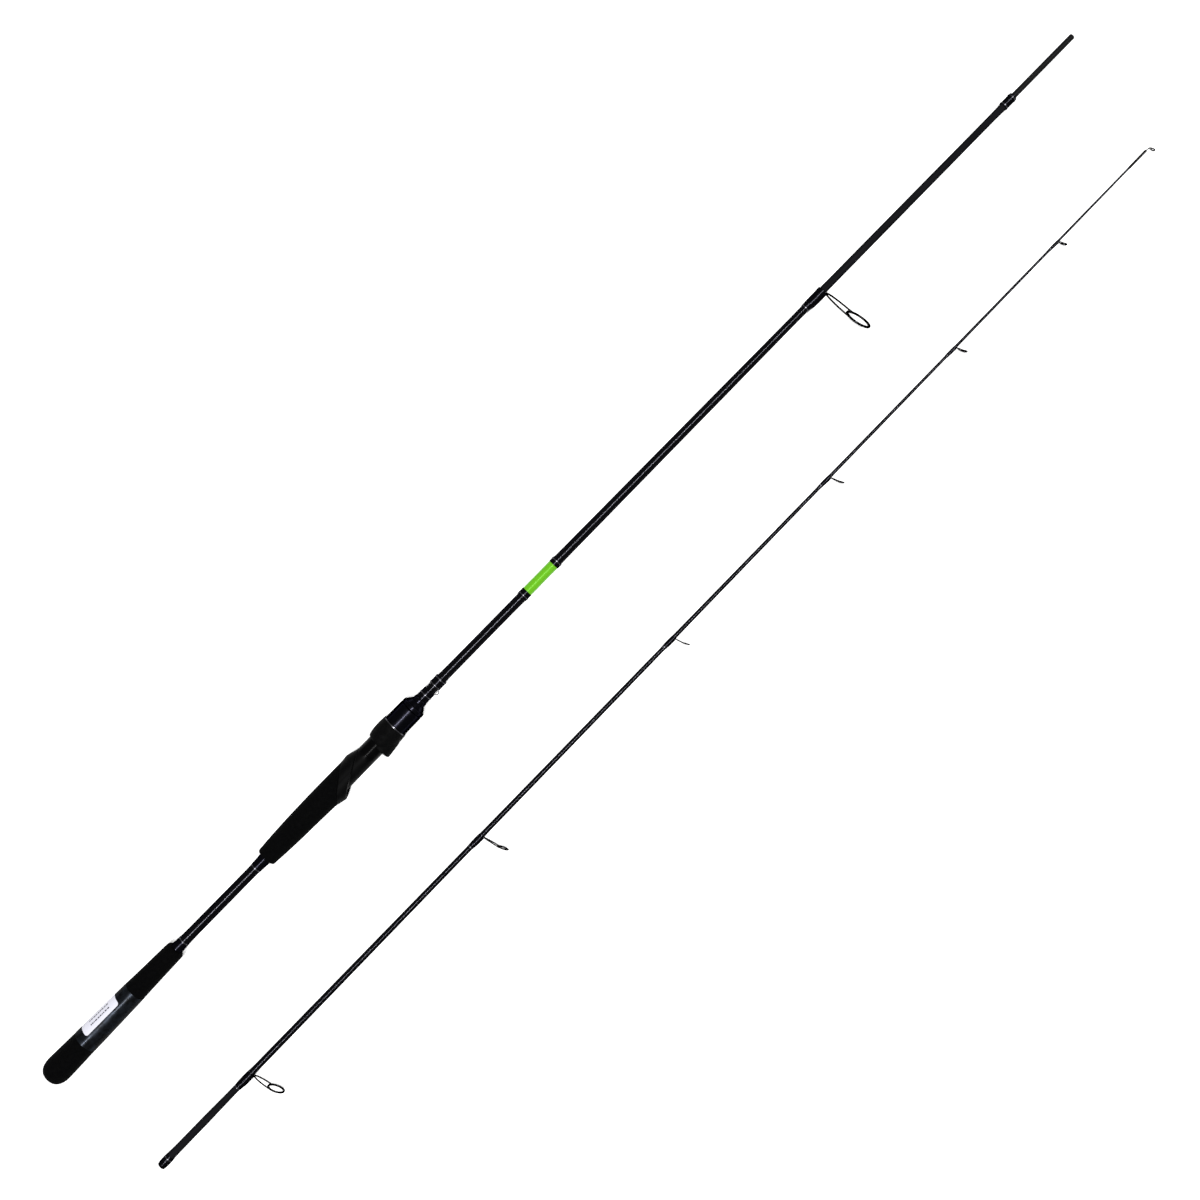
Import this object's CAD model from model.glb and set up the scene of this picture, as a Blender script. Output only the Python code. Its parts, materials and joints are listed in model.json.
"""Looks of a two-piece spinning rod, taken apart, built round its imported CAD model.

Both sections lie on their sides: +X runs from the butt towards the tips, -Y is the side the
reel and the line guides stand on, and +Z is up.
"""

import json
import math
import random

import bmesh
import bpy
import numpy as np
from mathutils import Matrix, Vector, noise
from mathutils.bvhtree import BVHTree


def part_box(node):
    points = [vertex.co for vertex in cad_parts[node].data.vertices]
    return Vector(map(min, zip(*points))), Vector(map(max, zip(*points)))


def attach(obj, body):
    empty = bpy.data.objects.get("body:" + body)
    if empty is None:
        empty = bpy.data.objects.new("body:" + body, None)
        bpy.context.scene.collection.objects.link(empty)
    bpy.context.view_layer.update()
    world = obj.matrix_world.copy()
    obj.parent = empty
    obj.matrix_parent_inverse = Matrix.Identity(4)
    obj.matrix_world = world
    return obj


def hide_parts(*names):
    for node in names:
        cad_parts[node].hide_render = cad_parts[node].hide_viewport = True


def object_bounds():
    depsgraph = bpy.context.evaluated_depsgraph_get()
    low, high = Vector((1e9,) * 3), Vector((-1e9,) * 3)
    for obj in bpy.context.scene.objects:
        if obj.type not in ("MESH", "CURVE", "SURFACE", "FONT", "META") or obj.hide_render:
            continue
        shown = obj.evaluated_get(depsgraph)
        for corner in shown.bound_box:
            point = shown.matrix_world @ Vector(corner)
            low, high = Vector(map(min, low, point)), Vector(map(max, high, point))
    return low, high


MM = 0.001
UP = Vector((0, 0, 1))
QUARTER = math.pi / 2
BLACK_EDGE = (0, 0, 0, 1)
GUIDES = [f"guide_{i}" for i in range(1, 7)]

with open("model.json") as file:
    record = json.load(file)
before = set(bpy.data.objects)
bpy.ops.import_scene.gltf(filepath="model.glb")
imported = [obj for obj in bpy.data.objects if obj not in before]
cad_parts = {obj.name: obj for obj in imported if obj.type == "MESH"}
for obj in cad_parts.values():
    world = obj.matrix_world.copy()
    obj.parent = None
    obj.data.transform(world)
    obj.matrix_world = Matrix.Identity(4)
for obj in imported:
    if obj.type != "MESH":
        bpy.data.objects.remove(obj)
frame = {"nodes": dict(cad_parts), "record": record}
cad_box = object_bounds()
record = frame["record"]
mounts = {mount["name"]: mount for mount in record["mounts"]}
finishes = {part["node"]: part["material_slot"] for part in record["subparts"]}
body_of_node = {
    node: body for body, members in record["behaviour"]["bodies"].items() for node in members
}


# ---------------------------------------------------------------- materials

class Paint:
    """A material with one Principled shader, fed by noises in the model's own coordinates."""

    def __init__(self, name, colour, roughness, specular=0.5, **fixed):
        self.material = bpy.data.materials.new(name)
        self.material.use_nodes = True
        self.tree = self.material.node_tree
        self.shader = self.tree.nodes["Principled BSDF"]
        self.place = self.tree.nodes.new("ShaderNodeTexCoord").outputs["Object"]
        self.relief = None
        self.shader.inputs["Base Color"].default_value = (*colour, 1)
        self.shader.inputs["Roughness"].default_value = roughness
        self.shader.inputs["Specular IOR Level"].default_value = specular
        for socket, value in fixed.items():
            self.shader.inputs[socket.replace("_", " ")].default_value = value

    def texture(self, kind, stretch=(1, 1, 1), **inputs):
        """A texture node whose coordinates are multiplied by stretch, one number per axis."""
        mapping = self.tree.nodes.new("ShaderNodeMapping")
        mapping.inputs["Scale"].default_value = stretch
        self.tree.links.new(self.place, mapping.inputs["Vector"])
        node = self.tree.nodes.new(kind)
        self.tree.links.new(mapping.outputs["Vector"], node.inputs["Vector"])
        for socket, value in inputs.items():
            node.inputs[socket].default_value = value
        return node

    def grain(self, size, detail=3.0, stretch=(1, 1, 1)):
        """Soft random blotches of about that size."""
        return self.texture("ShaderNodeTexNoise", stretch, Scale=1 / size, Detail=detail).outputs["Fac"]

    def cells(self, size):
        """Closed foam cells of about that size."""
        return self.texture("ShaderNodeTexVoronoi", Scale=1 / size).outputs["Distance"]

    def turns(self, pitch, wander=0.4):
        """Bands square to the rod, one to each pitch, such as turns of thread or tape."""
        bands_per_unit = 20 / math.tau
        scale = 1 / (pitch * bands_per_unit)
        return self.texture("ShaderNodeTexWave", Scale=scale, Distortion=wander, Detail=1).outputs["Fac"]

    def spread(self, factor, low, high):
        """The middle of a factor's range turned into numbers from low to high."""
        middle_low = 0.35
        middle_high = 0.65
        node = self.tree.nodes.new("ShaderNodeMapRange")
        node.inputs["From Min"].default_value = middle_low
        node.inputs["From Max"].default_value = middle_high
        node.inputs["To Min"].default_value = low
        node.inputs["To Max"].default_value = high
        self.tree.links.new(factor, node.inputs["Value"])
        return node.outputs["Result"]

    def tint(self, factor, first, second):
        """Base colour that wanders between two colours."""
        mix = self.tree.nodes.new("ShaderNodeMix")
        mix.data_type = "RGBA"
        share, _, colours = mix.inputs[0], mix.inputs[1], mix.inputs[6:8]
        for socket, colour in zip(colours, (first, second)):
            socket.default_value = (*colour, 1)
        self.tree.links.new(self.spread(factor, 0, 1), share)
        self.tree.links.new(mix.outputs[2], self.shader.inputs["Base Color"])

    def roughen(self, factor, low, high):
        """Roughness that wanders between low and high."""
        self.tree.links.new(self.spread(factor, low, high), self.shader.inputs["Roughness"])

    def change_at(self, start, socket, behind, beyond):
        """A value of the shader that goes over from one number to another just past X = start."""
        fade_length = 4 * MM
        apart = self.tree.nodes.new("ShaderNodeSeparateXYZ")
        self.tree.links.new(self.place, apart.inputs["Vector"])
        fade = self.tree.nodes.new("ShaderNodeMapRange")
        fade.inputs["From Min"].default_value = start
        fade.inputs["From Max"].default_value = start + fade_length
        fade.inputs["To Min"].default_value = behind
        fade.inputs["To Max"].default_value = beyond
        self.tree.links.new(apart.outputs["X"], fade.inputs["Value"])
        self.tree.links.new(fade.outputs["Result"], self.shader.inputs[socket])

    def bump(self, factor, depth, strength=0.5):
        """Relief of the given depth in metres, on top of any put in before."""
        node = self.tree.nodes.new("ShaderNodeBump")
        node.inputs["Strength"].default_value = strength
        node.inputs["Distance"].default_value = depth
        self.tree.links.new(factor, node.inputs["Height"])
        if self.relief:
            self.tree.links.new(self.relief, node.inputs["Normal"])
        self.relief = node.outputs["Normal"]
        self.tree.links.new(self.relief, self.shader.inputs["Normal"])


def dark_edged(name, colour, roughness):
    """Gloss that mirrors the soft box but not the white paper beside it: a metal, a very dark one
    for the blacks, whose black edge tint keeps the outline dark."""
    return Paint(name, colour, roughness, Metallic=1.0, Specular_Tint=BLACK_EDGE)


GLOSSY_COAT = 0.18
MATT_COAT = 0.85


def carbon(name, edge, behind, beyond):
    """Clear-coated carbon blank: dark violet-grey, lengthwise fibre, faint turns of tape. The
    coat has one roughness behind X = edge and another beyond it."""
    paint = dark_edged(name, (0.014, 0.014, 0.0165), behind)
    fibre = paint.grain(1.1 * MM, stretch=(0.04, 1, 1))
    paint.tint(fibre, (0.011, 0.011, 0.013), (0.017, 0.017, 0.02))
    paint.change_at(edge, "Roughness", behind, beyond)
    paint.bump(paint.turns(2.2 * MM, wander=1.5), 0.004 * MM, 0.1)
    paint.bump(fibre, 0.002 * MM, 0.1)
    return paint.material


def ground_carbon():
    """Spigot: bare carbon ground round, with fine grinding rings."""
    paint = Paint("ground_carbon", (0.003, 0.003, 0.0035), 0.5, specular=0.08)
    paint.tint(paint.grain(1.4 * MM, stretch=(0.05, 1, 1)), (0.002, 0.002, 0.0023), (0.0045, 0.0045, 0.005))
    paint.roughen(paint.grain(5 * MM), 0.42, 0.58)
    paint.bump(paint.turns(0.3 * MM), 0.01 * MM)
    return paint.material


def epoxied_thread():
    """Black thread turns under a clear gloss coat that isn't quite even."""
    paint = dark_edged("epoxied_thread", (0.01, 0.01, 0.0125), 0.2)
    paint.tint(paint.turns(0.22 * MM), (0.008, 0.008, 0.01), (0.013, 0.013, 0.016))
    paint.roughen(paint.grain(3 * MM), 0.17, 0.24)
    paint.bump(paint.grain(6 * MM, detail=1), 0.03 * MM, 0.2)
    return paint.material


def silver_thread():
    """Metallic trim thread sunk in tinted epoxy: it only glints where it faces the light."""
    paint = dark_edged("silver_thread", (0.09, 0.09, 0.1), 0.27)
    paint.tint(paint.turns(0.225 * MM), (0.07, 0.07, 0.08), (0.12, 0.12, 0.13))
    paint.roughen(paint.grain(1.1 * MM), 0.23, 0.32)
    paint.bump(paint.turns(0.225 * MM), 0.02 * MM)
    return paint.material


def foam():
    """Dense black EVA foam, ground matt: fine closed cells and faint grinding marks."""
    paint = Paint("foam", (0.001, 0.001, 0.0011), 0.85, specular=0.02)
    paint.tint(paint.grain(0.7 * MM), (0.0006, 0.0006, 0.0007), (0.0014, 0.0014, 0.0015))
    paint.roughen(paint.grain(3 * MM), 0.75, 0.95)
    paint.bump(paint.grain(2 * MM), 0.05 * MM, 0.35)
    paint.bump(paint.cells(0.28 * MM), 0.06 * MM, 0.45)
    return paint.material


def clear_film():
    """Clear shrink film, drawn opaque: all that shows is a creased, bluish gloss on black foam."""
    paint = Paint("clear_film", (0.016, 0.018, 0.022), 0.3, Metallic=0.85, Specular_Tint=BLACK_EDGE)
    paint.tint(paint.grain(5 * MM), (0.009, 0.0095, 0.0105), (0.018, 0.021, 0.027))
    paint.roughen(paint.grain(11 * MM), 0.22, 0.38)
    paint.bump(paint.grain(16 * MM, detail=1, stretch=(1, 0.4, 0.4)), 0.15 * MM, 0.4)
    return paint.material


def label_paper():
    """White satin label."""
    paint = Paint("label_paper", (0.52, 0.52, 0.58), 0.5, specular=0.2)
    paint.tint(paint.grain(0.4 * MM), (0.49, 0.49, 0.55), (0.55, 0.55, 0.61))
    paint.roughen(paint.grain(2.5 * MM), 0.38, 0.5)
    paint.bump(paint.grain(0.33 * MM), 0.01 * MM)
    return paint.material


def label_ink():
    """Grey print, a little uneven."""
    paint = Paint("label_ink", (0.014, 0.014, 0.016), 0.5, specular=0.1)
    paint.tint(paint.grain(0.25 * MM), (0.008, 0.008, 0.009), (0.025, 0.025, 0.028))
    return paint.material


def gloss_black():
    """Lacquered metal collars and nut: deep black with a faint turned grain."""
    paint = dark_edged("gloss_black", (0.01, 0.01, 0.014), 0.2)
    paint.tint(paint.grain(2 * MM), (0.0085, 0.0085, 0.012), (0.0115, 0.0115, 0.016))
    paint.roughen(paint.grain(4.5 * MM), 0.17, 0.24)
    paint.bump(paint.turns(0.35 * MM, wander=0.2), 0.004 * MM, 0.3)
    return paint.material


def seat_plastic():
    """Moulded reel seat: black nylon with faint flow marks, polished where the hood slides."""
    paint = Paint("seat_plastic", (0.001, 0.001, 0.0011), 0.5, specular=0.03)
    polish_reach = 15 * MM
    paint.tint(paint.grain(4 * MM), (0.0008, 0.0008, 0.0009), (0.0014, 0.0014, 0.0015))
    paint.change_at(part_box("moving_hood")[0].x - polish_reach, "Roughness", 0.55, 0.2)
    paint.bump(paint.grain(0.6 * MM), 0.02 * MM, 0.35)
    return paint.material


def soft_touch():
    """Matt rubbery coat of the moving hood."""
    paint = Paint("soft_touch", (0.0011, 0.0011, 0.0012), 0.7, specular=0.03)
    paint.tint(paint.grain(1.4 * MM), (0.0008, 0.0008, 0.0009), (0.0015, 0.0015, 0.0016))
    paint.roughen(paint.grain(4 * MM), 0.6, 0.8)
    paint.bump(paint.grain(0.4 * MM), 0.02 * MM, 0.4)
    return paint.material


def bright_metal():
    """Polished ring with fine turning lines."""
    paint = dark_edged("bright_metal", (0.1, 0.1, 0.11), 0.25)
    paint.tint(paint.grain(2 * MM), (0.08, 0.08, 0.09), (0.12, 0.12, 0.13))
    paint.roughen(paint.grain(2 * MM), 0.2, 0.3)
    paint.bump(paint.turns(0.12 * MM), 0.006 * MM)
    return paint.material


def arbor_foam():
    """Rigid buff foam of the rings inside the seat."""
    paint = Paint("arbor_foam", (0.55, 0.47, 0.3), 0.9, specular=0.2)
    paint.tint(paint.grain(1.1 * MM), (0.45, 0.38, 0.24), (0.62, 0.54, 0.36))
    paint.bump(paint.cells(0.4 * MM), 0.08 * MM)
    return paint.material


def green_thread():
    """Bright green band under clear epoxy, its turns just showing."""
    paint = Paint("green_thread", (0.1, 0.34, 0.012), 0.24, specular=0.3, Specular_Tint=(0.5, 1, 0.3, 1))
    paint.tint(paint.turns(0.3 * MM), (0.08, 0.28, 0.009), (0.11, 0.36, 0.013))
    paint.roughen(paint.grain(3 * MM), 0.2, 0.32)
    paint.bump(paint.turns(0.3 * MM), 0.012 * MM, 0.3)
    return paint.material


def plated_black():
    """Black plated guide frames, a little browner where handling has rubbed them."""
    paint = dark_edged("plated_black", (0.008, 0.008, 0.009), 0.3)
    paint.tint(paint.grain(2 * MM), (0.006, 0.006, 0.007), (0.012, 0.011, 0.01))
    paint.roughen(paint.grain(1.4 * MM), 0.24, 0.42)
    paint.bump(paint.grain(0.33 * MM), 0.006 * MM)
    return paint.material


def ceramic():
    """Polished dark ceramic."""
    paint = dark_edged("ceramic", (0.01, 0.01, 0.011), 0.15)
    paint.tint(paint.grain(0.7 * MM), (0.007, 0.007, 0.008), (0.013, 0.013, 0.014))
    paint.roughen(paint.grain(1.1 * MM), 0.07, 0.14)
    return paint.material


def steel_wire():
    """Drawn steel of the hook keeper."""
    paint = Paint("steel_wire", (0.09, 0.09, 0.1), 0.3, Metallic=1.0)
    paint.tint(paint.grain(1 * MM), (0.07, 0.07, 0.075), (0.12, 0.12, 0.13))
    paint.roughen(paint.grain(0.8 * MM), 0.22, 0.38)
    paint.bump(paint.grain(0.33 * MM, stretch=(0.1, 1, 1)), 0.005 * MM)
    return paint.material


def paper():
    """White backdrop paper under the rod."""
    paint = Paint("paper", (0.92, 0.92, 0.92), 0.95, specular=0.05)
    paint.tint(paint.grain(25 * MM), (0.915, 0.915, 0.915), (0.925, 0.925, 0.925))
    return paint.material


# ---------------------------------------------------------------- camera, floor and light

def set_camera():
    """Straight down over the two sections, turned so that they run up to the right."""
    height = 1.2
    frame_width = 1.044
    rod_height = 10 * MM
    shift_along = -3.2 * MM
    shift_across = 20.75 * MM
    turned_by = -45.53
    low, high = cad_box
    camera = bpy.data.objects.new("camera", bpy.data.cameras.new("camera"))
    camera.data.sensor_width = 36
    camera.data.lens = camera.data.sensor_width * height / frame_width
    middle = (low + high) / 2
    camera.location = (middle.x + shift_along, middle.y + shift_across, rod_height + height)
    camera.rotation_euler = (0, 0, math.radians(turned_by))
    bpy.context.scene.collection.objects.link(camera)
    bpy.context.scene.camera = camera


def set_floor():
    """Plain white paper, far wider than the view."""
    half = 6
    mesh = bpy.data.meshes.new("floor")
    corners = [(-half, -half, 0), (half, -half, 0), (half, half, 0), (-half, half, 0)]
    mesh.from_pydata(corners, [], [(0, 1, 2, 3)])
    mesh.materials.append(paper())
    floor = bpy.data.objects.new("floor", mesh)
    bpy.context.scene.collection.objects.link(floor)


def set_light():
    """Soft even surroundings, and a long slim soft box overhead that runs along the rod."""
    surroundings = 0.25
    box_long = 4.0
    box_wide = 0.05
    box_high = 2.0
    box_power = 100
    world = bpy.data.worlds.new("studio")
    world.use_nodes = True
    world.node_tree.nodes["Background"].inputs["Color"].default_value = (1, 1, 1, 1)
    world.node_tree.nodes["Background"].inputs["Strength"].default_value = surroundings
    bpy.context.scene.world = world
    lamp = bpy.data.lights.new("soft_box", "AREA")
    lamp.shape = "RECTANGLE"
    lamp.size = box_long
    lamp.size_y = box_wide
    lamp.energy = box_power
    box = bpy.data.objects.new("soft_box", lamp)
    box.location = (0, (cad_box[0].y + cad_box[1].y) / 2, box_high)
    bpy.context.scene.collection.objects.link(box)
    bpy.context.scene.view_settings.view_transform = "Standard"


# ---------------------------------------------------------------- measuring the frame

class Axle:
    """A straight line to build round. turn 0 faces the reel side, a quarter turn faces up."""

    def __init__(self, origin, axis, side=None):
        self.origin = origin
        self.axis = axis.normalized()
        side = side or self.axis.cross(UP)
        self.side = (side - side.dot(self.axis) * self.axis).normalized()
        self.up = self.side.cross(self.axis)

    def at(self, station, radius=0.0, turn=0.0):
        return (self.origin + self.axis * station
                + self.side * radius * math.cos(turn) + self.up * radius * math.sin(turn))

    def station(self, point):
        return (point - self.origin).dot(self.axis)

    def radius(self, point):
        offset = point - self.origin
        return (offset - offset.dot(self.axis) * self.axis).length

    def turn(self, point):
        offset = point - self.origin
        return math.atan2(offset.dot(self.up), offset.dot(self.side)) % math.tau


def points_of(node):
    return [vertex.co.copy() for vertex in frame["nodes"][node].data.vertices]


class Shape:
    """A CAD node's surface, felt for with rays square to an axle."""

    def __init__(self, node, axle):
        points = points_of(node)
        faces = [face.vertices[:] for face in frame["nodes"][node].data.polygons]
        self.tree = BVHTree.FromPolygons(points, faces)
        self.axle = axle
        self.edges = sorted({round(axle.station(point), 5) for point in points})
        self.low = self.edges[0]
        self.high = self.edges[-1]

    def inset(self, station):
        """The station itself, or one just inside the node's end faces."""
        hair = 0.002 * MM
        return min(max(station, self.low + hair), self.high - hair)

    def outside(self, station, turn=0.0):
        """Radius of the surface, felt from far outside."""
        far = 100 * MM
        start = self.axle.at(self.inset(station), far, turn)
        inward = self.axle.at(self.inset(station)) - start
        hit = self.tree.ray_cast(start, inward, far)
        return far - hit[3] if hit[0] else 0.0

    def inside(self, station, turn=0.0):
        """Radius of the first surface met on the way out from the axle."""
        start = self.axle.at(self.inset(station))
        hit = self.tree.ray_cast(start, self.axle.at(self.inset(station), 1, turn) - start)
        return hit[3] if hit[0] else 0.0

    def steps(self, low, high, spacing):
        """Stations from low to high, no further apart than spacing, with the CAD edges between."""
        ends = [low] + [edge for edge in self.edges if low < edge < high] + [high]
        steps = [low]
        for start, end in zip(ends, ends[1:]):
            parts = max(1, math.ceil((end - start) / spacing))
            steps += [start + (end - start) * (i + 1) / parts for i in range(parts)]
        return steps

    def stretches(self, gap=2 * MM):
        """(low, high) of each separate solid along the axle."""
        starts = [self.low]
        ends = []
        for one, other in zip(self.edges, self.edges[1:]):
            if other - one > gap and not self.outside((one + other) / 2):
                ends.append(one)
                starts.append(other)
        return list(zip(starts, ends + [self.high]))


# ---------------------------------------------------------------- building pieces

def even_turns(count):
    return [math.tau * i / count for i in range(count)]


def tube_mesh(rows, joined=False):
    """Points and faces of a skin over rings of equally many points. joined closes the last ring
    onto the first, as in a hoop or a bored tube; otherwise each end gets a cap."""
    count = len(rows[0])
    points = [point for row in rows for point in row]
    faces = []
    for row in range(len(rows) if joined else len(rows) - 1):
        here = row * count
        there = (row + 1) % len(rows) * count
        for i in range(count):
            j = (i + 1) % count
            faces.append((here + i, there + i, there + j, here + j))
    if not joined:
        last = (len(rows) - 1) * count
        for i in range(count):
            j = (i + 1) % count
            faces.append((i, j, len(points)))
            faces.append((last + j, last + i, len(points) + 1))
        points += [sum(row, Vector()) / count for row in (rows[0], rows[-1])]
    return points, faces


def sweep(path, half_width, half_thick, side, roundness=2.0, corners=16):
    """Bar along a path. half_width runs across side, half_thick along it, and both are functions
    of how far along the path it is, from 0 to 1. roundness 2 gives an oval, 4 a rounded bar."""
    rows = []
    for i, point in enumerate(path):
        ahead = path[min(i + 1, len(path) - 1)] - path[max(i - 1, 0)]
        across = ahead.cross(side).normalized()
        outward = across.cross(ahead).normalized()
        share = i / (len(path) - 1)
        row = []
        for turn in even_turns(corners):
            x, y = oval(turn, half_width(share), half_thick(share), roundness)
            row.append(point + across * x + outward * y)
        rows.append(row)
    return tube_mesh(rows)


def oval(turn, half_x, half_y, roundness):
    """Point of a rounded rectangle's outline."""
    c, s = math.cos(turn), math.sin(turn)
    return (half_x * math.copysign(abs(c) ** (2 / roundness), c),
            half_y * math.copysign(abs(s) ** (2 / roundness), s))


def hoop(axle, inner, outer, half_thick, roundness, segments=72, corners=16):
    """Ring about an axle with an oval or rounded section."""
    rows = []
    for turn in even_turns(segments):
        row = []
        for corner in even_turns(corners):
            station, rise = oval(corner, half_thick, (outer - inner) / 2, roundness)
            row.append(axle.at(station, (inner + outer) / 2 + rise, turn))
        rows.append(row)
    return tube_mesh(rows, joined=True)


def curve_through(points, steps=8):
    """Smooth path through the points."""
    ends = [2 * points[0] - points[1]] + points + [2 * points[-1] - points[-2]]
    path = [points[0]]
    for a, b, c, d in zip(ends, ends[1:], ends[2:], ends[3:]):
        for i in range(1, steps + 1):
            t = i / steps
            path.append(0.5 * (2 * b + (c - a) * t + (2 * a - 5 * b + 4 * c - d) * t * t
                               + (3 * b - a - 3 * c + d) * t ** 3))
    return path


def mesh_from(name, *parts):
    """One mesh from several lots of (points, faces), with its faces turned outwards."""
    points, faces = [], []
    for more_points, more_faces in parts:
        start = len(points)
        points += more_points
        faces += [[start + i for i in face] for face in more_faces]
    mesh = bpy.data.meshes.new(name)
    mesh.from_pydata(points, [], faces)
    shell = bmesh.new()
    shell.from_mesh(mesh)
    bmesh.ops.recalc_face_normals(shell, faces=shell.faces)
    shell.to_mesh(mesh)
    shell.free()
    return mesh


def add_piece(name, mesh, *nodes, like=None, material=None, crease=35):
    """Shows mesh in place of the CAD nodes, on their body and with their finish. A piece that
    stands for no node names one that it is like."""
    model = nodes[0] if nodes else like
    for face in mesh.polygons:
        face.use_smooth = True
    mesh.set_sharp_from_angle(angle=math.radians(crease))
    mesh.materials.clear()
    mesh.materials.append(material or materials[finishes[model]])
    piece = bpy.data.objects.new(name, mesh)
    bpy.context.scene.collection.objects.link(piece)
    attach(piece, body_of_node[model])
    if nodes:
        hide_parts(*nodes)
    return piece


def skin(shape, low, high, spacing, turns, relief=None):
    """Closed skin over a CAD node between two stations. relief(station, turn) is added to the
    radius. A node that is a tube keeps its bore."""
    rows = []
    for station in shape.steps(low, high, spacing):
        row = []
        for turn in turns:
            radius = shape.outside(station, turn)
            if relief:
                radius += relief(station, turn)
            row.append(shape.axle.at(station, radius, turn))
        rows.append(row)
    thinnest_wall = 0.05 * MM
    bores = [(end, shape.inside(end)) for end in (high, low)]
    if all(bore < shape.outside(end) - thinnest_wall for end, bore in bores):
        rows += [[shape.axle.at(end, bore, turn) for turn in turns] for end, bore in bores]
        return tube_mesh(rows, joined=True)
    return tube_mesh(rows)


def add_turned(node, axle, spacing, segments=64, relief=None, material=None):
    """Finer skin in place of a turned CAD node, one for each solid in it."""
    shape = Shape(node, axle)
    skins = [
        skin(shape, low, high, spacing, even_turns(segments), relief) for low, high in shape.stretches()
    ]
    return add_piece(f"{node}_skin", mesh_from(node, *skins), node, material=material)


def thread_turns(pitch, depth):
    """Relief of thread wound round in a helix, as a function of station and turn."""
    def relief(station, turn):
        return -depth * (0.5 - 0.5 * math.cos(math.tau * station / pitch - turn))
    return relief


def softened(node, voxel, rounds, trim=None):
    """Closed mesh of a CAD node with its edges softened. trim cuts the copy down first."""
    mesh = frame["nodes"][node].data.copy()
    if trim:
        trim(mesh)
    copy = bpy.data.objects.new(f"{node}_soft", mesh)
    bpy.context.scene.collection.objects.link(copy)
    remesh = copy.modifiers.new("remesh", "REMESH")
    remesh.mode = "VOXEL"
    remesh.voxel_size = voxel
    smooth = copy.modifiers.new("smooth", "SMOOTH")
    smooth.factor = 0.5
    smooth.iterations = rounds
    graph = bpy.context.evaluated_depsgraph_get()
    soft = bpy.data.meshes.new_from_object(copy.evaluated_get(graph))
    bpy.data.objects.remove(copy)
    return soft


# ---------------------------------------------------------------- blanks, wraps and rings

def add_blanks():
    add_turned("butt_blank", butt, 5 * MM, segments=48)
    add_turned("spigot", butt, 1 * MM, segments=48)
    tip_coat = carbon("tip_carbon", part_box("guide_1_frame")[0].x, MATT_COAT, GLOSSY_COAT)
    add_turned("tip_blank", tip, 5 * MM, segments=48, material=tip_coat)


def add_wraps():
    """Thread under epoxy: low ridges of the turns, softened at the ends."""
    pitch = 0.36 * MM
    relief = thread_turns(pitch, 0.008 * MM)
    plain = [("socket_wrap", tip), ("ferrule_wrap", butt), ("keeper_wrap_1", butt),
             ("keeper_wrap_2", butt), ("band_wrap_1", butt), ("band_wrap_2", butt),
             ("stripper_wrap", butt)]
    for node, axle in plain + [(f"{guide}_wrap", tip) for guide in GUIDES]:
        add_turned(node, axle, pitch / 4, segments=48, relief=relief)
    add_turned("green_band", butt, pitch / 2, segments=48, relief=thread_turns(2 * pitch, 0.006 * MM))


def add_trim_rings():
    """Silver thread, four turns to a ring."""
    pitch = 0.225 * MM
    relief = thread_turns(pitch, 0.03 * MM)
    for node in ("ferrule_rings", "keeper_rings", "band_rings", "butt_check_ring", "grip_check_ring"):
        add_turned(node, butt, pitch / 4, relief=relief)


def add_trim_turns():
    """Four turns of silver thread laid over each guide wrap and the socket's wrap, a given way in
    from the wrap's low end."""
    wide = 0.9 * MM
    proud = 0.04 * MM
    near_end = 0.2 * MM
    places = [("stripper_wrap", butt, near_end), ("socket_wrap", tip, 9 * MM)]
    places += [(f"{guide}_wrap", tip, near_end) for guide in GUIDES]
    for node, axle, way_in in places:
        shape = Shape(node, axle)
        start = shape.low + way_in
        turns = skin(shape, start, start + wide, 0.06 * MM, even_turns(48), lambda station, turn: proud)
        add_piece(f"{node}_trim", mesh_from(node, turns), like=node, material=materials["silver_thread"])


# ---------------------------------------------------------------- grips, film and label

def hand_worn(depth, size):
    """Relief of foam that isn't ground quite even: hollows up to depth deep."""
    def relief(station, turn):
        place = Vector((station, 10 * MM * math.cos(turn), 10 * MM * math.sin(turn)))
        return -depth * (0.5 + 0.5 * noise.noise(place / size))
    return relief


def add_butt_grip():
    shape = Shape("butt_grip", butt)
    wear = hand_worn(0.12 * MM, 6 * MM)
    body = skin(shape, shape.low, shape.high, 0.8 * MM, even_turns(96), wear)
    grip = add_piece("butt_grip_foam", mesh_from("butt_grip", body), "butt_grip")


def add_main_grip():
    soft = softened("main_grip", 0.5 * MM, 4)
    wear = hand_worn(0.06 * MM, 6 * MM)
    for vertex in soft.vertices:
        station = butt.station(vertex.co)
        turn = butt.turn(vertex.co)
        vertex.co = butt.at(station, butt.radius(vertex.co) + wear(station, turn), turn)
    grip = add_piece("main_grip_foam", soft, "main_grip", crease=60)


def add_sleeve():
    add_turned("clear_sleeve", butt, 1.5 * MM, segments=96)


def rounded_patch(shape, low, high, first, last, corner, lift, spacing=0.5 * MM):
    """Patch laid over a shape between two stations and two turns, with rounded corners."""
    middle_turn = (first + last) / 2
    radius = shape.outside((low + high) / 2, middle_turn)
    half_long = (high - low) / 2
    half_wide = (last - first) / 2 * radius
    across = max(4, round(2 * half_wide / spacing))
    along = max(2, round(2 * half_long / spacing))
    points = []
    for i in range(across + 1):
        offset = half_wide * math.sin(math.pi * (i / across - 0.5))
        cut = max(0, abs(offset) - (half_wide - corner))
        long = half_long - corner + math.sqrt(max(0, corner * corner - cut * cut))
        for j in range(along + 1):
            station = (low + high) / 2 + long * (2 * j / along - 1)
            turn = middle_turn + offset / radius
            points.append(shape.axle.at(station, shape.outside(station, turn) + lift, turn))
    faces = []
    for i in range(across):
        for j in range(along):
            here = i * (along + 1) + j
            faces.append((here, here + 1, here + along + 2, here + along + 1))
    return points, faces


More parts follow.
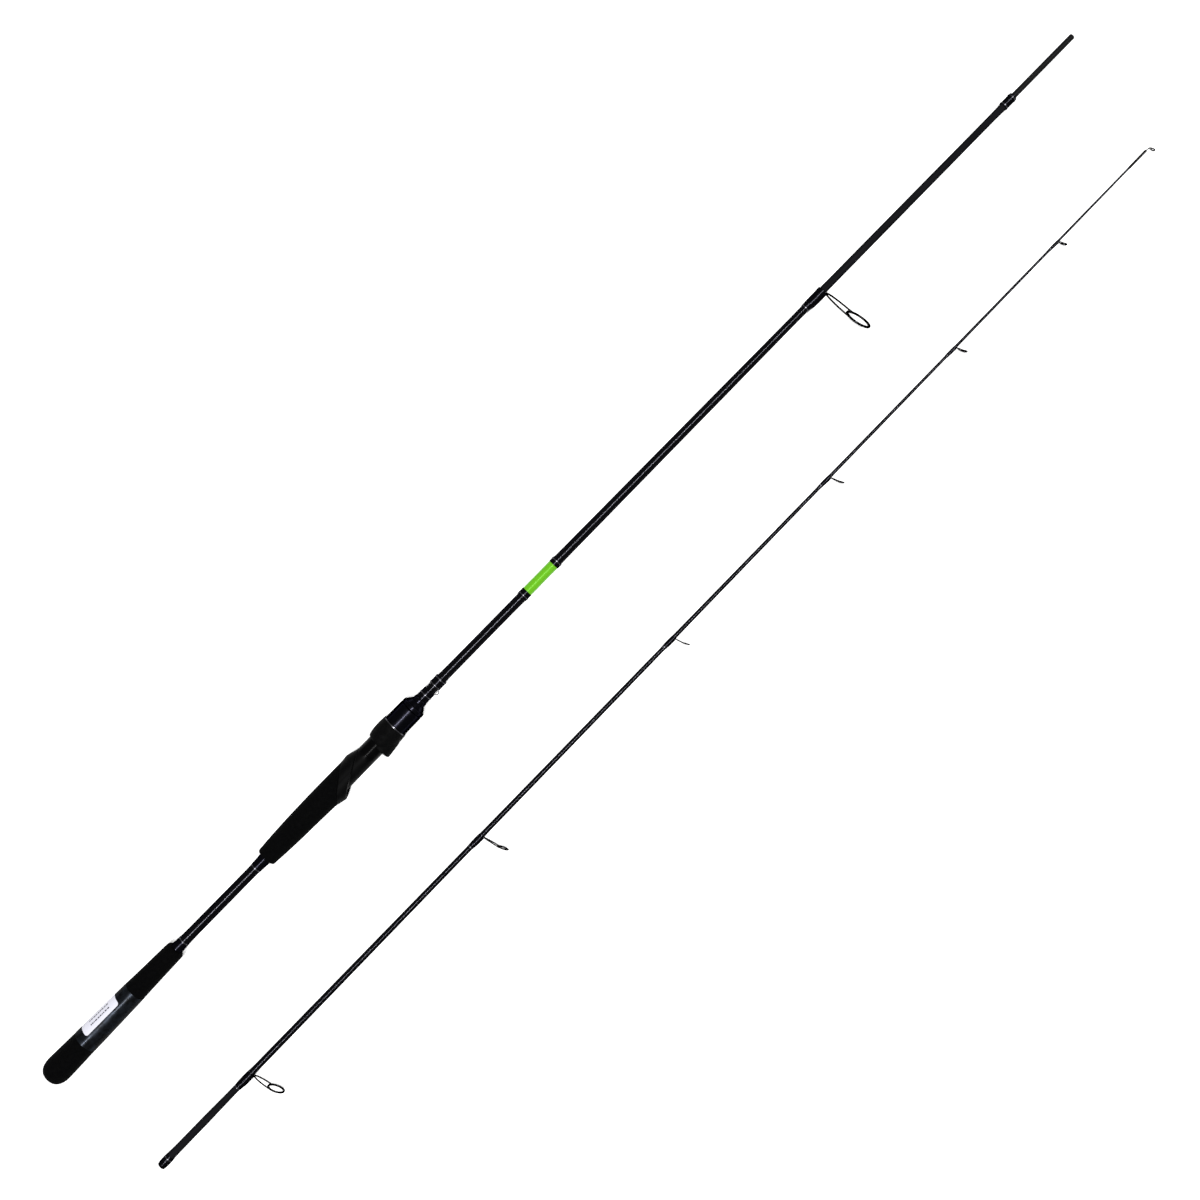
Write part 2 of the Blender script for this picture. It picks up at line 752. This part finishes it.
def thicken(mesh, thickness):
    """Turns an open patch into a thin closed slab."""
    shell = bmesh.new()
    shell.from_mesh(mesh)
    bmesh.ops.solidify(shell, geom=shell.faces, thickness=thickness)
    bmesh.ops.recalc_face_normals(shell, faces=shell.faces)
    shell.to_mesh(mesh)
    shell.free()


def add_label():
    """White label with rounded corners, and plain grey bars where its small print was."""
    sleeve = Shape("clear_sleeve", butt)
    points = points_of("label")
    low = min(butt.station(point) for point in points)
    high = max(butt.station(point) for point in points)
    first = min(butt.turn(point) for point in points)
    last = max(butt.turn(point) for point in points)
    sheet = mesh_from("label", rounded_patch(sleeve, low, high, first, last, 2.5 * MM, 0.03 * MM))
    thicken(sheet, 0.1 * MM)
    add_piece("label_sheet", sheet, "label")
    rear_margin = 9 * MM
    front_margin = 8 * MM
    bars = print_bars(sleeve, low + rear_margin, high - front_margin)
    ink = mesh_from("label_print", *bars)
    thicken(ink, 0.01 * MM)
    add_piece("label_print", ink, like="label", material=label_ink())


def print_bars(sleeve, low, high):
    """Two rows of short bars of random length between two stations."""
    row_turns = (math.radians(122), math.radians(144))
    bar_high = 1.1 * MM
    shortest_left = 1 * MM
    dice = random.Random(4)
    bars = []
    for row_turn in row_turns:
        station = low
        while station < high - shortest_left:
            long = dice.uniform(0.8, 2.4) * MM
            half_turn = bar_high / 2 / sleeve.outside(station, row_turn)
            bars.append(rounded_patch(sleeve, station, min(station + long, high),
                                      row_turn - half_turn, row_turn + half_turn,
                                      corner=0.2 * MM, lift=0.15 * MM, spacing=0.25 * MM))
            station += long + dice.uniform(0.5, 0.9) * MM
    return bars


# ---------------------------------------------------------------- checks and reel seat

def add_collars():
    for node in ("butt_check", "grip_check", "hood_ring", "locking_nut", "seat_collar", "front_check"):
        add_turned(node, butt, 0.4 * MM, segments=96)


def add_seat():
    """Shroud with softened edges, and ahead of it the threaded tube with its key slot."""
    hood_low = Shape("moving_hood", butt).low
    split = hood_low - 10 * MM

    def rear_part(mesh):
        half = bmesh.new()
        half.from_mesh(mesh)
        bmesh.ops.remove_doubles(half, verts=half.verts, dist=0.001 * MM)
        geometry = half.verts[:] + half.edges[:] + half.faces[:]
        cut = bmesh.ops.bisect_plane(half, geom=geometry, plane_co=butt.at(split), plane_no=butt.axis,
                                     clear_outer=True)
        rim = [item for item in cut["geom_cut"] if isinstance(item, bmesh.types.BMEdge)]
        bmesh.ops.triangle_fill(half, edges=rim)
        half.to_mesh(mesh)
        half.free()

    add_piece("seat_shroud", softened("reel_seat", 0.45 * MM, 3, rear_part), "reel_seat", crease=60)
    add_seat_tube(split, hood_low)


def add_seat_tube(split, hood_low):
    """Tube from split forwards. A helix grooves it where the CAD tube is thinner, and the key slot
    runs along the side away from the reel."""
    pitch = 2 * MM
    groove_depth = 0.6 * MM
    slot_width = 2.8 * MM
    slot_low = hood_low - 13 * MM
    slot_turn = math.pi
    shape = Shape("reel_seat", butt)
    tube_r = shape.outside(split, 0)
    slot_floor = shape.outside(hood_low, slot_turn)
    slot_half = math.asin(slot_width / 2 / tube_r)
    thread_low, thread_high = thread_span(shape, tube_r)
    slot_edges = [slot_turn + side * (slot_half + nudge)
                  for side in (-1, 1) for nudge in (-0.004, 0.004)]
    turns = sorted(even_turns(90) + slot_edges)
    rows = []
    for station in shape.steps(split, shape.high, 0.25 * MM):
        fade = min(1, (station - thread_low) / pitch, (thread_high - station) / pitch)
        row = []
        for turn in turns:
            wave = math.cos(math.tau * station / pitch - turn)
            radius = tube_r - groove_depth * max(0, fade) * max(0, wave) ** 0.8
            if abs(turn - slot_turn) < slot_half and station > slot_low:
                radius = min(radius, slot_floor / abs(math.cos(turn)))
            row.append(butt.at(station, radius, turn))
        rows.append(row)
    bore = shape.inside(shape.high, 0)
    rows += [[butt.at(end, bore, turn) for turn in turns] for end in (shape.high, split)]
    add_piece("seat_tube", mesh_from("seat_tube", tube_mesh(rows, joined=True)), "reel_seat")


def thread_span(shape, tube_r):
    """Stations between which the CAD tube is thinned for its thread."""
    shallowest = 0.3 * MM
    grooved = [edge for edge in shape.edges if shape.outside(edge, 0) < tube_r - shallowest]
    return grooved[0], grooved[-1]


def add_hood():
    add_piece("hood_shell", softened("moving_hood", 0.35 * MM, 3), "moving_hood", crease=60)


def add_keeper():
    """Wire arch whose two feet run under the wraps."""
    low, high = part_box("hook_keeper")
    wire_r = (high.z - low.z) / 2
    arch_r = high.y - low.y - 2 * wire_r
    middle = Vector(((low.x + high.x) / 2, high.y - wire_r, (low.z + high.z) / 2))
    foot = (high.x - low.x) / 2
    bend_start = 1.25 * arch_r
    half = [Vector((-x, 0, 0)) for x in (foot, (foot + arch_r) / 2, bend_start)]
    half += [Vector((-arch_r * math.cos(turn), -arch_r * math.sin(turn), 0))
             for turn in map(math.radians, (20, 45, 70))]
    rest = [Vector((-point.x, point.y, 0)) for point in reversed(half)]
    path = curve_through([middle + point for point in half + [Vector((0, -arch_r, 0))] + rest])
    wire = sweep(path, lambda share: wire_r, lambda share: wire_r, UP)
    add_piece("keeper_wire", mesh_from("hook_keeper", wire), "hook_keeper", material=steel_wire())


# ---------------------------------------------------------------- line guides

def ring_axle(node, rod):
    """Axle through a guide ring, with its turn 0 facing away from the rod."""
    points = np.array(points_of(node))
    centre = (points.min(0) + points.max(0)) / 2
    normal = Vector(np.linalg.svd(points - points.mean(0), full_matrices=False)[2][2])
    if normal.dot(rod.axis) < 0:
        normal = -normal
    return Axle(Vector(centre), normal, rod.side)


def add_ring(node, axle):
    """Ceramic ring with rounded lips. Gives back its outer radius."""
    points = points_of(node)
    outer = max(axle.radius(point) for point in points)
    inner = min(axle.radius(point) for point in points)
    half = max(abs(axle.station(point)) for point in points)
    ring = hoop(axle, inner, outer, half, 2.6, segments=96)
    add_piece(f"{node}_polished", mesh_from(node, ring), node)
    return outer


def bowed(hip, knee, across):
    """Points of a leg that spreads early, so that the opening between two legs is leaf-shaped."""
    spread = (knee - hip).dot(across) * across
    return [hip + (knee - hip) * t + spread * (math.sin(QUARTER * t ** 0.6) - t)
            for t in (0, 0.06, 0.15, 0.3, 0.5, 0.75, 1)]


def foot_size(node, wrap, rod):
    """Low end, half width, bottom and top of a guide's foot, from its points under the wrap."""
    wrap_r = max(wrap.outside(step) for step in wrap.edges)
    foot = [point for point in points_of(node)
            if rod.station(point) < wrap.high and rod.radius(point) < wrap_r]
    rises = [(point - rod.origin).dot(rod.side) for point in foot]
    low = min(rod.station(point) for point in foot)
    half_wide = max(abs((point - rod.origin).dot(rod.up)) for point in foot)
    return low, half_wide, min(rises), max(rises)


def guide_foot(rod, low, high, rise, half_wide, half_thick):
    """Flat foot along the rod that thins and narrows towards its toe."""
    steps = 12
    path = [rod.at(low + (high - low) * i / steps, rise) for i in range(steps + 1)]
    return sweep(path, lambda share: half_wide * min(1, 0.55 + 1.5 * share),
                 lambda share: half_thick * min(1, 0.5 + 2 * share), rod.side, roundness=3.5)


def guide_legs(rod, hip, hip_half, axle, knee_r, knee_in, leg_r):
    """Two round legs from either side of the hip to the hoop. They meet it knee_in nearer the rod
    than its middle, at a radius that keeps them clear of the ceramic ring."""
    knee_turn = math.acos(knee_in / knee_r)
    run_in = 0.12
    legs = []
    for side in (-1, 1):
        root = hip + rod.up * side * hip_half
        knee = axle.at(0, knee_r, math.pi - side * knee_turn)
        along_hoop = axle.at(0, knee_r, math.pi - side * (knee_turn + run_in))
        path = curve_through(bowed(root, knee, rod.up) + [along_hoop], steps=5)
        legs.append(sweep(path, lambda share: leg_r, lambda share: leg_r, rod.axis, corners=12))
    return legs


def add_guide(prefix, rod):
    """Line guide: foot under the wrap, two legs that spread early, hoop and ceramic ring."""
    node = f"{prefix}_frame"
    axle = ring_axle(f"{prefix}_ring", rod)
    inner = add_ring(f"{prefix}_ring", axle)
    shape = Shape(node, axle)
    outer = shape.outside(0, 0)
    far = 20 * MM
    above_hoop = axle.at(far, (inner + outer) / 2)
    half_thick = far - shape.tree.ray_cast(above_hoop, -axle.axis)[3]
    leg_r = 1.2 * half_thick

    wrap = Shape(f"{prefix}_wrap", rod)
    foot_low, foot_half, bottom, top = foot_size(node, wrap, rod)
    foot_y = (bottom + top) / 2
    hip_station = wrap.high + leg_r
    hip = rod.at(hip_station, max(foot_y, bottom + leg_r))

    foot = guide_foot(rod, foot_low, hip_station + leg_r, foot_y, foot_half, (top - bottom) / 2)
    hip_half = foot_half - 0.6 * leg_r
    knee_r = inner + 1.1 * leg_r
    knee_in = 0.72 * outer
    legs = guide_legs(rod, hip, hip_half, axle, knee_r, knee_in, leg_r)
    mesh = mesh_from(node, hoop(axle, inner, outer, half_thick, 3.5), foot, *legs)
    add_piece(f"{node}_plated", mesh, node)


def add_tip_top():
    """Tube over the thin end, and a small hoop on two wires."""
    wire_r = 0.3 * MM
    hoop_half = 0.35 * MM
    wire_root = 5 * MM
    along_first = 0.72
    out_first = 0.1
    rings = 60
    axle = ring_axle("tip_top_ring", tip)
    inner = add_ring("tip_top_ring", axle)
    outer = Shape("tip_top_frame", axle).outside(0, 0)
    shape = Shape("tip_top_frame", tip)
    tube_end = end_of_tube(shape, tip.station(axle.origin))
    steps = [shape.low + (tube_end - shape.low) * i / rings for i in range(rings + 1)]
    turns = even_turns(32)
    tube = tube_mesh([[tip.at(s, shape.outside(s, math.pi), turn) for turn in turns] for s in steps])
    tube_r = shape.outside((shape.low + tube_end) / 2, math.pi)
    parts = [tube, hoop(axle, inner, outer, hoop_half, 3.5, segments=48, corners=12)]
    for side in (-1, 1):
        root = tip.at(tube_end - wire_root, tube_r - wire_r / 2, side * QUARTER)
        end = axle.at(0, outer - wire_r, side * QUARTER)
        along = (end - root).dot(tip.axis) * along_first * tip.axis
        elbow = root + along + (end - root) * out_first
        path = curve_through([root, elbow, end])
        parts.append(sweep(path, lambda share: wire_r, lambda share: wire_r, tip.up, corners=10))
    add_piece("tip_top_plated", mesh_from("tip_top_frame", *parts), "tip_top_frame")


def end_of_tube(shape, station):
    """Station of the tube's front end, felt for from the hoop backwards."""
    step = 0.1 * MM
    thinnest = 0.1 * MM
    while shape.outside(station, math.pi) < thinnest:
        station -= step
    return station


# ---------------------------------------------------------------- the whole rod

def section(mount, along, rear_node):
    """Axle of a section: through a mount, from the low end of its rearmost node."""
    point = Vector(mounts[mount]["pos_m"])
    axis = Vector(mounts[mount]["axis"]) * along
    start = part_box(rear_node)[0].x
    return Axle(point + axis * (start - point.x) / axis.x, axis)


set_camera()
set_floor()
set_light()

materials = {
    "carbon": carbon("carbon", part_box("stripper_frame")[0].x, GLOSSY_COAT, MATT_COAT),
    "spigot": ground_carbon(),
    "wrap": epoxied_thread(),
    "silver_thread": silver_thread(),
    "eva": foam(),
    "clear_film": clear_film(),
    "label": label_paper(),
    "gloss_black": gloss_black(),
    "seat": seat_plastic(),
    "hood": soft_touch(),
    "bright_ring": bright_metal(),
    "arbor": arbor_foam(),
    "green": green_thread(),
    "guide_metal": plated_black(),
    "guide_ceramic": ceramic(),
}
for node, cad_piece in frame["nodes"].items():
    cad_piece.data.materials.clear()
    cad_piece.data.materials.append(materials[finishes[node]])

butt = section("spigot", 1, "butt_grip")
tip = section("ferrule_socket", -1, "tip_blank")
add_blanks()
add_wraps()
add_trim_rings()
add_trim_turns()
add_butt_grip()
add_main_grip()
add_sleeve()
add_label()
add_collars()
add_seat()
add_hood()
add_keeper()
add_guide("stripper", butt)
for guide in GUIDES:
    add_guide(guide, tip)
add_tip_top()
